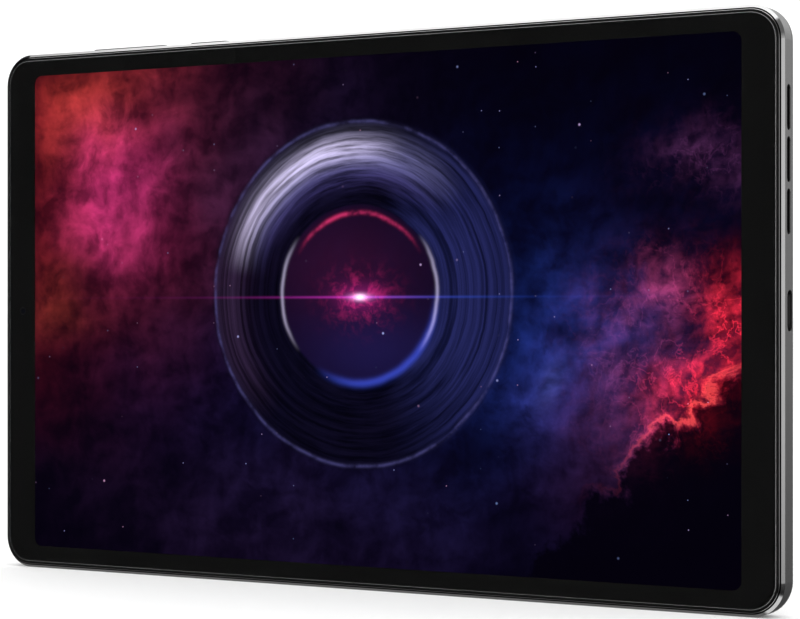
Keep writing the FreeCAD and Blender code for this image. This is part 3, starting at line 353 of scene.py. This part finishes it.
def paint_flare(g, flat, sky):
    """A bright star at the halo's middle, with a long thin streak and a little lit gas."""
    offset = g.vector("SUBTRACT", flat, (*FLARE_CENTRE, 0.0))
    x, z, _ = g.split(offset)
    spread = g.math("EXPONENT", g.math("MULTIPLY", g.math("ABSOLUTE", x), -1 / 16))
    streak = g.math("MULTIPLY", g.band(z, 0.0, 0.28), spread)
    hue = g.mix(g.step(x, -10.0, 30.0), srgb(190, 46, 176), srgb(56, 100, 255))
    gas = g.step(g.noise(g.warp(flat, 0.2, 3.0), 0.35, 6.0, 0.65), 0.42, 0.72)
    return g.add(
        sky,
        g.times(hue, streak),
        g.times(g.glow(flat, (176, 30, 92), FLARE_CENTRE, (7.0, 5.0)), gas),
        g.glow(flat, (120, 20, 88), FLARE_CENTRE, (6.0, 3.0)),
        g.glow(flat, (240, 150, 226), FLARE_CENTRE, (2.6, 0.8)),
        g.glow(flat, (255, 255, 255), FLARE_CENTRE, (1.3, 0.65)),
    )


def paint_stars(g, flat):
    """Scattered points of light in two sizes."""
    layers = []
    large = (0.10, 0.042, 0.11, 13.0)
    small = (0.22, 0.042, 0.09, 40.0)
    for scale, size, share, seed in (large, small):
        place = g.vector("ADD", flat, (seed, seed, 0.0))
        distance = g.voronoi(place, scale)
        chance = g.split(g.voronoi(place, scale, output="Color"))
        spot = g.math("SUBTRACT", 1.0, g.step(distance, size * 0.2, size))
        chosen = g.step(chance[0], 1.0 - share, 1.02)
        hue = g.mix(chance[1], srgb(200, 140, 176), srgb(140, 170, 240))
        layers.append(g.times(hue, g.math("MULTIPLY", spot, chosen)))
    return g.add(*layers)


def picture():
    """A nebula in red, magenta and blue, with a soft halo of dust rings, a flare and stars."""
    g = Painter("lit_screen")
    place = g.vector("SUBTRACT", g.coordinates, SCREEN_CENTRE)
    axes = g.split(g.vector("SCALE", place, scale=1 / MM))
    flat = g.join(axes[0], axes[2])
    sky = paint_right_cloud(g, flat, paint_sky(g, flat))
    sky = paint_flare(g, flat, paint_halo(g, flat, sky))
    sky = g.add(sky, paint_stars(g, flat))
    return g.shader(
        Base_Color=(0.0, 0.0, 0.0),
        Roughness=0.3,
        Specular_IOR_Level=0.0,
        Emission_Color=sky,
        Emission_Strength=1.0,
    )


# ---------------------------------------------------------------- materials of the parts


def grey(value):
    return srgb(value, value, value)


def metal(name, colour, roughness, grain=9000.0, depth=0.0, lay=(1.0, 1.0, 1.0)):
    """Metal with cloudy colour, uneven gloss and fine grain, which its lay can draw out in lines."""
    g = Graph(name)
    stretched = g.vector("MULTIPLY", g.coordinates, lay)
    cloud = g.noise(g.coordinates, 60.0, 3.0, 0.5)
    fine = g.noise(stretched, grain, 3.0, 0.6)
    dark = tuple(value * 0.88 for value in colour)
    light = tuple(value * 1.08 for value in colour)
    rough = g.math("ADD", g.remap(cloud, 0.3, 0.7, -0.03, 0.03), g.remap(fine, 0.3, 0.7, -0.04, 0.04))
    return g.shader(
        Base_Color=g.mix(g.math("MULTIPLY_ADD", fine, 0.5, g.math("MULTIPLY", cloud, 0.5)), dark, light),
        Metallic=1.0,
        Roughness=g.math("ADD", rough, roughness),
        Normal=g.bump(fine, depth) if depth else None,
    )


def moulded(name, dark, light, roughness, grain=3000.0, depth=0.0, blotch=80.0):
    """Plastic, rubber or film with a fine skin and slow changes of tone."""
    g = Graph(name)
    tone = g.noise(g.coordinates, blotch, 4.0, 0.55)
    skin = g.noise(g.coordinates, grain, 3.0, 0.6)
    return g.shader(
        Base_Color=g.mix(g.remap(tone, 0.3, 0.7, 0.0, 1.0), dark, light),
        Roughness=g.remap(skin, 0.3, 0.7, roughness - 0.05, roughness + 0.05),
        Normal=g.bump(skin, depth) if depth else None,
    )


def frame_metal():
    """Anodised and blasted metal, with a bright lip and chamfer, and painted shade between them: the groove
    there is coloured near-black.
    """
    g = Graph("frame_metal")
    normal = g.split(g.tree.nodes.new("ShaderNodeTexCoord").outputs["Normal"])
    depth = g.math("SUBTRACT", g.split(g.coordinates)[1], GLASS_LOW.y)
    slope = g.math("MULTIPLY", normal[1], -1.0)
    before_wall = g.math("SUBTRACT", 1.0, g.step(depth, 1.16 * MM, 1.3 * MM))
    sloping = g.math("MULTIPLY", g.step(slope, 0.55, 0.66), g.math("SUBTRACT", 1.0, g.step(slope, 0.78, 0.9)))
    behind_lip = g.step(depth, 0.44 * MM, 0.48 * MM)
    bright = g.math("MULTIPLY", sloping, g.math("MULTIPLY", before_wall, behind_lip))
    lip = g.math("SUBTRACT", 1.0, g.step(depth, 0.26 * MM, 0.32 * MM))
    # Painted shade: the groove between the lip and the chamfer gets near-black colour in place of the shade
    # in that step.
    painted_shade_groove = g.math("MULTIPLY", g.math("SUBTRACT", before_wall, lip), g.math("SUBTRACT", 1.0, bright))
    blast = g.noise(g.coordinates, 14000.0, 2.0, 0.6)
    cloud = g.noise(g.coordinates, 45.0, 3.0, 0.5)
    turned = g.noise(g.vector("MULTIPLY", g.coordinates, (1.0, 30.0, 1.0)), 900.0, 3.0, 0.6)
    colour = g.mix(cloud, grey(96), grey(108))
    # Near-black colour in the groove is painted shade, not a dark finish of the metal.
    colour = g.mix(painted_shade_groove, colour, g.mix(cloud, grey(12), grey(18)))
    bright = g.math("MAXIMUM", bright, lip)
    colour = g.mix(bright, colour, g.mix(turned, grey(200), grey(218)))
    satin = g.math("ADD", g.remap(blast, 0.3, 0.7, -0.04, 0.04), g.remap(cloud, 0.3, 0.7, 0.29, 0.34))
    return g.shader(
        Base_Color=colour,
        Metallic=1.0,
        Roughness=g.math("MULTIPLY_ADD", g.math("SUBTRACT", 0.12, satin), bright, satin),
        Normal=g.bump(blast, 0.0015 * MM),
    )


def front_glass():
    """Clear glass whose rounded edge is ground, and so a little milky."""
    g = Graph("front_glass")
    normal = g.split(g.tree.nodes.new("ShaderNodeTexCoord").outputs["Normal"])
    slope = g.math("MULTIPLY", normal[1], -1.0)
    edge = g.math("MULTIPLY", g.step(slope, 0.05, 0.25), g.math("SUBTRACT", 1.0, g.step(slope, 0.7, 0.98)))
    smears = g.noise(g.coordinates, 40.0, 3.0, 0.5)
    grinding = g.noise(g.coordinates, 12000.0, 2.0, 0.5)
    clear = g.remap(smears, 0.3, 0.7, 0.0, 0.02)
    ground = g.remap(grinding, 0.3, 0.7, 0.3, 0.4)
    return g.shader(
        Base_Color=g.mix(edge, (1.0, 1.0, 1.0), g.mix(grinding, grey(22), grey(28))),
        Transmission_Weight=g.math("MULTIPLY_ADD", edge, -0.85, 1.0),
        IOR=1.5,
        Roughness=g.math("MULTIPLY_ADD", g.math("SUBTRACT", ground, clear), edge, clear),
    )


def border_print():
    g = Graph("border_print")
    grain = g.noise(g.coordinates, 9000.0, 2.0, 0.5)
    return g.shader(Base_Color=g.mix(grain, grey(22), grey(26)), Roughness=0.5, Specular_IOR_Level=0.0)


def window_plastic():
    """Black, glossy, with faint polishing haze."""
    g = Graph("window_plastic")
    haze = g.noise(g.vector("MULTIPLY", g.coordinates, (1.0, 1.0, 6.0)), 90.0, 4.0, 0.6)
    tone = g.mix(haze, grey(11), grey(16))
    return g.shader(
        Base_Color=tone, Roughness=g.remap(haze, 0.3, 0.7, 0.07, 0.16), Coat_Weight=0.6, Coat_Roughness=0.05
    )


def lens_glass():
    """Dark coated lens, with patches of violet and green."""
    g = Graph("lens_glass")
    tint = g.noise(g.coordinates, 700.0, 2.0, 0.5)
    colour = g.mix(tint, srgb(16, 10, 34), srgb(8, 22, 26))
    return g.shader(
        Base_Color=colour, Roughness=0.06, Specular_IOR_Level=0.3, Coat_Weight=0.5, Coat_Roughness=0.02
    )


def lens_cover_glass():
    g = Graph("lens_cover_glass")
    dust = g.noise(g.coordinates, 1200.0, 3.0, 0.6)
    rough = g.remap(dust, 0.4, 0.8, 0.0, 0.03)
    return g.shader(Base_Color=(0.96, 0.97, 1.0), Transmission_Weight=1.0, IOR=1.5, Roughness=rough)


def diffuser_plastic():
    g = Graph("diffuser_plastic")
    cloud = g.noise(g.coordinates, 500.0, 3.0, 0.5)
    return g.shader(
        Base_Color=g.mix(cloud, srgb(232, 224, 196), srgb(246, 240, 218)),
        Roughness=0.25,
        Transmission_Weight=0.35,
    )


def circuit_board():
    """Green solder mask over faint copper tracks, with gold pads."""
    g = Graph("circuit_board")
    tracks = g.noise(g.vector("SNAP", g.coordinates, (0.3 * MM, 1.0, 1.2 * MM)), 4000.0, 1.0, 0.5)
    pads = g.step(g.voronoi(g.coordinates, 900.0), 0.16, 0.12)
    mask = g.mix(g.step(tracks, 0.45, 0.55), srgb(10, 48, 36), srgb(16, 66, 48))
    return g.shader(
        Base_Color=g.mix(pads, mask, srgb(212, 170, 92)),
        Metallic=g.math("MULTIPLY", pads, 0.9),
        Roughness=0.36,
    )


# slot: colour, roughness, grain, depth of the grain in millimetres, lay
METALS = {
    "cover_metal": (grey(128), 0.38, 14000.0, 0.0015, (1.0, 1.0, 1.0)),
    "ring_metal": (grey(112), 0.24, 9000.0, 0.001, (1.0, 0.2, 1.0)),
    "key_metal": (grey(104), 0.30, 12000.0, 0.001, (0.15, 1.0, 1.0)),
    "plate_metal": (grey(202), 0.34, 2500.0, 0.004, (0.1, 1.0, 1.0)),
    "screw_steel": (grey(176), 0.28, 16000.0, 0.001, (1.0, 1.0, 1.0)),
    "dome_steel": (grey(214), 0.18, 14000.0, 0.001, (1.0, 1.0, 1.0)),
    "module_metal": (grey(190), 0.30, 6000.0, 0.002, (1.0, 1.0, 0.1)),
    "shield_metal": (srgb(204, 202, 194), 0.27, 7000.0, 0.002, (1.0, 1.0, 0.15)),
    "magnet": (grey(140), 0.42, 5000.0, 0.003, (1.0, 1.0, 1.0)),
    "contact_gold": (srgb(226, 186, 112), 0.22, 16000.0, 0.001, (1.0, 1.0, 1.0)),
    "cell_foil": (grey(62), 0.40, 1800.0, 0.010, (1.0, 1.0, 1.0)),
    "mesh_fabric": (grey(52), 0.45, 20000.0, 0.001, (1.0, 1.0, 1.0)),
}

# slot: dark tone, light tone, roughness, grain, depth of the grain in millimetres
MOULDED = {
    "backlight": (grey(226), grey(240), 0.45, 2500.0, 0.002),
    "gasket_rubber": (grey(6), grey(12), 0.75, 9000.0, 0.004),
    "pad_rubber": (srgb(150, 166, 190), srgb(168, 184, 206), 0.7, 5000.0, 0.006),
    "adhesive": (grey(30), grey(44), 0.8, 9000.0, 0.008),
    "flex": (srgb(120, 72, 22), srgb(146, 92, 32), 0.35, 4000.0, 0.002),
    "black_plastic": (grey(14), grey(22), 0.5, 8000.0, 0.004),
    "connector_plastic": (grey(34), grey(44), 0.45, 8000.0, 0.003),
    "led_package": (srgb(226, 200, 96), srgb(240, 216, 120), 0.5, 12000.0, 0.002),
    "diaphragm": (grey(86), grey(100), 0.4, 5000.0, 0.002),
    "chip": (grey(36), grey(46), 0.55, 12000.0, 0.003),
    "graphite": (grey(62), grey(76), 0.4, 1500.0, 0.004),
}

CUSTOM = {
    "lit_screen": picture,
    "frame_metal": frame_metal,
    "front_glass": front_glass,
    "border_print": border_print,
    "window_plastic": window_plastic,
    "lens_glass": lens_glass,
    "lens_cover_glass": lens_cover_glass,
    "diffuser_plastic": diffuser_plastic,
    "circuit_board": circuit_board,
}


def make_materials():
    made = {}
    for slot, (colour, roughness, grain, depth, lay) in METALS.items():
        made[slot] = metal(slot, colour, roughness, grain, depth * MM, lay)
    for slot, (dark, light, roughness, grain, depth) in MOULDED.items():
        made[slot] = moulded(slot, dark, light, roughness, grain, depth * MM)
    for slot, make in CUSTOM.items():
        made[slot] = make()
    return made


materials = make_materials()
for part in frame["record"]["subparts"]:
    mesh = nodes[part["node"]].data
    mesh.materials.clear()
    mesh.materials.append(materials[part["material_slot"]])


# ---------------------------------------------------------------- pieces added to the CAD parts


def add_piece(name, mesh_data, body, slot, replaced=()):
    """Finishes a bmesh as a piece that moves with a body."""
    bmesh.ops.remove_doubles(mesh_data, verts=mesh_data.verts, dist=1e-8)
    bmesh.ops.recalc_face_normals(mesh_data, faces=mesh_data.faces)
    mesh = bpy.data.meshes.new(name)
    mesh_data.to_mesh(mesh)
    mesh_data.free()
    mesh.polygons.foreach_set("use_smooth", [True] * len(mesh.polygons))
    mesh.set_sharp_from_angle(angle=math.radians(35))
    mesh.materials.append(materials[slot])
    piece = bpy.data.objects.new(name, mesh)
    bpy.context.scene.collection.objects.link(piece)
    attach(piece, body)
    if replaced:
        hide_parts(*replaced)
    return piece


def turned(name, centre, profile, body, slot, replaced=(), segments=96):
    """A turned piece about an axis along Y. Its closed profile is a list of radius and Y."""
    mesh_data = bmesh.new()
    rings = []
    for radius, y in profile:
        ring = []
        for k in range(segments):
            angle = 2 * math.pi * k / segments
            place = (centre.x + radius * math.cos(angle), y, centre.z + radius * math.sin(angle))
            ring.append(mesh_data.verts.new(place))
        rings.append(ring)
    for ring, following in zip(rings, rings[1:] + rings[:1]):
        for k in range(segments):
            n = (k + 1) % segments
            mesh_data.faces.new((ring[k], ring[n], following[n], following[k]))
    return add_piece(name, mesh_data, body, slot, replaced)


def stairs(outer, inner, steps, lip):
    """Points that go down from one radius and Y to another in steps, each with a thin lip that stands in."""
    points = []
    for k in range(steps):
        share, following = k / steps, (k + 1) / steps
        radius = outer[0] + (inner[0] - outer[0]) * following
        top = outer[1] + (inner[1] - outer[1]) * share
        bottom = outer[1] + (inner[1] - outer[1]) * following
        points += [(radius, top), (radius, top + (bottom - top) * 0.4)]
        points += [(radius + lip, top + (bottom - top) * 0.4), (radius + lip, bottom)]
    return points


def centre_of(name):
    low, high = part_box(name)
    return (low + high) / 2


def add_rear_camera_details():
    """Black print under the lens cover, and the ribbed light trap in the barrel's mouth."""
    cover_low, cover_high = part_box("rear_camera_lens_cover")
    barrel_low, barrel_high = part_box("rear_camera_barrel")
    element_low, element_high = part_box("rear_camera_element")
    centre = centre_of("rear_camera_barrel")
    barrel_r = (barrel_high.x - barrel_low.x) / 2
    outer_r = (cover_high.x - cover_low.x) / 2 - 0.75 * MM
    inner_r = barrel_r - 0.35 * MM
    top = cover_low.y - 0.01 * MM
    ring_middle = (outer_r + inner_r) / 2
    turned(
        "rear_camera_print",
        centre,
        [
            (outer_r, top),
            (ring_middle + 0.12 * MM, top),
            (ring_middle + 0.10 * MM, top - 0.02 * MM),
            (ring_middle - 0.10 * MM, top - 0.02 * MM),
            (ring_middle - 0.12 * MM, top),
            (inner_r, top),
            (inner_r, top - 0.04 * MM),
            (outer_r, top - 0.04 * MM),
        ],
        "tablet",
        "black_plastic",
    )
    mouth = (2.36 * MM, barrel_high.y - 0.01 * MM)
    throat = (1.40 * MM, barrel_high.y - 0.88 * MM)
    ribs = stairs(mouth, throat, 6, 0.05 * MM)
    turned(
        "rear_camera_light_trap",
        centre,
        [mouth, *ribs, (throat[0] + 0.02 * MM, throat[1] - 0.005 * MM)],
        "focus_barrel",
        "black_plastic",
    )
    element_r = (element_high.x - element_low.x) / 2
    seat = element_high.y - 0.33 * MM
    turned(
        "rear_camera_retainer",
        centre,
        [
            (element_r, seat + 0.02 * MM),
            (element_r, seat + 0.14 * MM),
            (element_r - 0.10 * MM, seat + 0.18 * MM),
            (element_r - 0.20 * MM, seat + 0.16 * MM),
            (element_r - 0.20 * MM, seat + 0.125 * MM),
        ],
        "focus_barrel",
        "ring_metal",
    )


def add_front_camera_details():
    """Thin stepped baffle in front of the lens."""
    low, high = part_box("front_camera_lens")
    centre = centre_of("front_camera_lens")
    radius = (high.x - low.x) / 2
    turned(
        "front_camera_baffle",
        centre,
        [
            (radius, low.y - 0.045 * MM),
            (radius - 0.12 * MM, low.y - 0.045 * MM),
            (radius - 0.14 * MM, low.y - 0.015 * MM),
            (radius - 0.24 * MM, low.y - 0.015 * MM),
            (radius - 0.26 * MM, low.y + 0.02 * MM),
            (radius - 0.28 * MM, low.y + 0.04 * MM),
            (radius, low.y + 0.04 * MM),
        ],
        "tablet",
        "black_plastic",
    )


def add_flash_lens():
    """Diffuser with ring-shaped prisms."""
    low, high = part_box("flash_lens")
    radius = (high.x - low.x) / 2
    prisms = 9
    field = radius - 0.3 * MM
    pitch = field / prisms
    floor = high.y - 0.10 * MM
    profile = [(0.0, floor)]
    for k in range(prisms):
        crest = high.y - 0.02 * MM
        profile += [(pitch * (k + 0.12), crest), (pitch * (k + 1), floor)]
    profile += [(field + 0.02 * MM, high.y - 0.01 * MM), (radius - 0.04 * MM, high.y - 0.01 * MM)]
    profile += [(radius - 0.01 * MM, high.y - 0.05 * MM), (radius - 0.01 * MM, low.y), (0.0, low.y)]
    centre = centre_of("flash_lens")
    turned("flash_prism_lens", centre, profile, "tablet", "diffuser_plastic", ("flash_lens",))


def thread(mesh_data, start, along, across, lift, length, pitch, radius, phase):
    """A thin thread that weaves over and under its neighbours."""
    sides = 6
    samples_per_crossing = 4
    count = max(2, round(length / pitch * samples_per_crossing))
    rings = []
    for k in range(count + 1):
        travel = length * k / count
        wave = math.sin(math.pi * (travel / pitch) + phase) * radius * 0.85
        middle = start + along * travel + lift * wave
        ring = []
        for side in range(sides):
            angle = 2 * math.pi * side / sides
            offset = across * math.cos(angle) + lift * math.sin(angle)
            ring.append(mesh_data.verts.new(middle + offset * radius))
        rings.append(ring)
    for ring, following in zip(rings, rings[1:]):
        for side in range(sides):
            n = (side + 1) % sides
            mesh_data.faces.new((ring[side], ring[n], following[n], following[side]))
    mesh_data.faces.new(rings[0])
    mesh_data.faces.new(rings[-1])


def add_speaker_weave():
    """Woven wire screens behind the slots, in place of the plain ones."""
    low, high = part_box("speaker_meshes")
    pitch = 0.28 * MM
    radius = 0.045 * MM
    width, height = high.y - low.y, high.z - low.z
    columns, rows = round(width / pitch), round(height / pitch)
    y_axis, z_axis = Vector((0, 1, 0)), Vector((0, 0, 1))
    for label, side in (("left", -1), ("right", 1)):
        lift = Vector((side, 0, 0))
        x = side * (high.x - 0.085 * MM)
        mesh_data = bmesh.new()
        for k in range(columns):
            start = Vector((x, low.y + (k + 0.5) * width / columns, low.z))
            phase = math.pi * (k + 0.5)
            thread(mesh_data, start, z_axis, y_axis, lift, height, height / rows, radius, phase)
        for k in range(rows):
            start = Vector((x, low.y, low.z + (k + 0.5) * height / rows))
            phase = math.pi * (k + 0.5) + math.pi / 2
            thread(mesh_data, start, y_axis, z_axis, lift, width, width / columns, radius, phase)
        add_piece(label + "_speaker_weave", mesh_data, "tablet", "mesh_fabric", ("speaker_meshes",))


add_rear_camera_details()
add_front_camera_details()
add_flash_lens()
add_speaker_weave()


# ---------------------------------------------------------------- studio

VIEW_AZIMUTH = math.radians(29.9)
VIEW_DEPTH = 0.5331
VIEW_SIDE = 0.0102
LENS_MM = 103.5
SENSOR_MM = 36.0
HORIZON_SHIFT = 0.0018
ROOM_WHITE = 1.2

# Bright areas that shining surfaces see: direction, outer and inner angle in degrees, brightness
GLOSS_LOBES = (
    ((0.55, 0.70, 0.45), 101.0, 8.0, 0.32),
    ((0.50, 0.85, 0.40), 31.0, 8.0, 0.92),
    ((-0.20, 0.95, 0.35), 42.0, 8.0, 1.0),
    ((0.867, -0.498, 0.06), 19.0, 4.0, 0.96),
    ((-0.05, -0.15, 1.0), 41.0, 36.0, 1.7),
    ((0.40, -0.40, -0.82), 30.0, 24.0, 1.1),
    ((-0.5, 0.0, -0.87), 45.0, 25.0, 0.22),
    ((1.0, 0.15, 0.0), 25.0, 8.0, 0.55),
    ((-1.0, -0.15, 0.0), 24.0, 8.0, 0.55),
)


def add_camera():
    data = bpy.data.cameras.new("camera")
    data.lens = LENS_MM
    data.sensor_width = SENSOR_MM
    data.shift_y = HORIZON_SHIFT
    data.clip_end = 100.0
    camera = bpy.data.objects.new("camera", data)
    bpy.context.scene.collection.objects.link(camera)
    backwards = Vector((math.sin(VIEW_AZIMUTH), -math.cos(VIEW_AZIMUTH), 0))
    rightwards = Vector((math.cos(VIEW_AZIMUTH), math.sin(VIEW_AZIMUTH), 0))
    centre = Vector((SCREEN_CENTRE.x, GLASS_LOW.y, SCREEN_CENTRE.z))
    camera.location = centre + backwards * VIEW_DEPTH + rightwards * VIEW_SIDE
    camera.rotation_euler = (math.pi / 2, 0, VIEW_AZIMUTH)
    bpy.context.scene.camera = camera


def add_floor():
    mesh = bpy.data.meshes.new("floor")
    r = 20.0
    z = cad_box[0][2]
    mesh.from_pydata([(-r, -r, z), (r, -r, z), (r, r, z), (-r, r, z)], [], [(0, 1, 2, 3)])
    floor = bpy.data.objects.new("floor", mesh)
    bpy.context.scene.collection.objects.link(floor)
    g = Graph("studio_floor")
    mottle = g.noise(g.coordinates, 3.0, 3.0, 0.5)
    mesh.materials.append(
        g.shader(Base_Color=g.mix(mottle, (0.93, 0.93, 0.93), (0.96, 0.96, 0.96)), Roughness=0.9)
    )
    floor.visible_glossy = False
    floor.visible_transmission = False


def add_world():
    """A white room, but what shines sees a dark one with soft bright areas, as in a product studio."""
    world = bpy.data.worlds.new("studio")
    world.use_nodes = True
    tree = world.node_tree
    tree.nodes.clear()

    def math_node(operation, *sources):
        node = tree.nodes.new("ShaderNodeMath")
        node.operation = operation
        for socket, source in zip(node.inputs, sources):
            if isinstance(source, bpy.types.NodeSocket):
                tree.links.new(source, socket)
            else:
                socket.default_value = source
        return node.outputs[0]

    direction = tree.nodes.new("ShaderNodeTexCoord").outputs["Generated"]
    brightness = 0.0
    for way, outer, inner, strength in GLOSS_LOBES:
        facing = tree.nodes.new("ShaderNodeVectorMath")
        facing.operation = "DOT_PRODUCT"
        facing.inputs[1].default_value = Vector(way).normalized()
        tree.links.new(direction, facing.inputs[0])
        ramp = tree.nodes.new("ShaderNodeMapRange")
        ramp.interpolation_type = "SMOOTHSTEP"
        ramp.inputs["From Min"].default_value = math.cos(math.radians(outer))
        ramp.inputs["From Max"].default_value = math.cos(math.radians(inner))
        tree.links.new(facing.outputs["Value"], ramp.inputs["Value"])
        brightness = math_node("MULTIPLY_ADD", ramp.outputs["Result"], strength, brightness)
    path = tree.nodes.new("ShaderNodeLightPath").outputs
    shiny = math_node("MAXIMUM", path["Is Glossy Ray"], path["Is Transmission Ray"])
    first = math_node("LESS_THAN", path["Diffuse Depth"], 0.5)
    gloss = tree.nodes.new("ShaderNodeBackground")
    tree.links.new(brightness, gloss.inputs["Strength"])
    white = tree.nodes.new("ShaderNodeBackground")
    white.inputs["Color"].default_value = (1, 1, 1, 1)
    white.inputs["Strength"].default_value = ROOM_WHITE
    mix = tree.nodes.new("ShaderNodeMixShader")
    output = tree.nodes.new("ShaderNodeOutputWorld")
    tree.links.new(math_node("MULTIPLY", shiny, first), mix.inputs[0])
    tree.links.new(white.outputs[0], mix.inputs[1])
    tree.links.new(gloss.outputs[0], mix.inputs[2])
    tree.links.new(mix.outputs[0], output.inputs["Surface"])
    bpy.context.scene.world = world


def add_softbox(name, place, target, size, power):
    data = bpy.data.lights.new(name, "AREA")
    data.shape = "RECTANGLE"
    data.size, data.size_y = size
    data.energy = power
    light = bpy.data.objects.new(name, data)
    bpy.context.scene.collection.objects.link(light)
    light.location = place
    light.rotation_euler = (Vector(target) - Vector(place)).to_track_quat("-Z", "Y").to_euler()
    light.visible_glossy = False


add_camera()
add_floor()
add_world()
add_softbox("top_box", (0.2, -0.2, 1.2), (0, 0, 0), (1.6, 1.6), 4.0)
add_softbox("right_box", (0.9, -0.5, 0.5), (0.1, 0, 0.1), (0.5, 0.8), 2.0)
bpy.context.scene.view_settings.view_transform = "Standard"
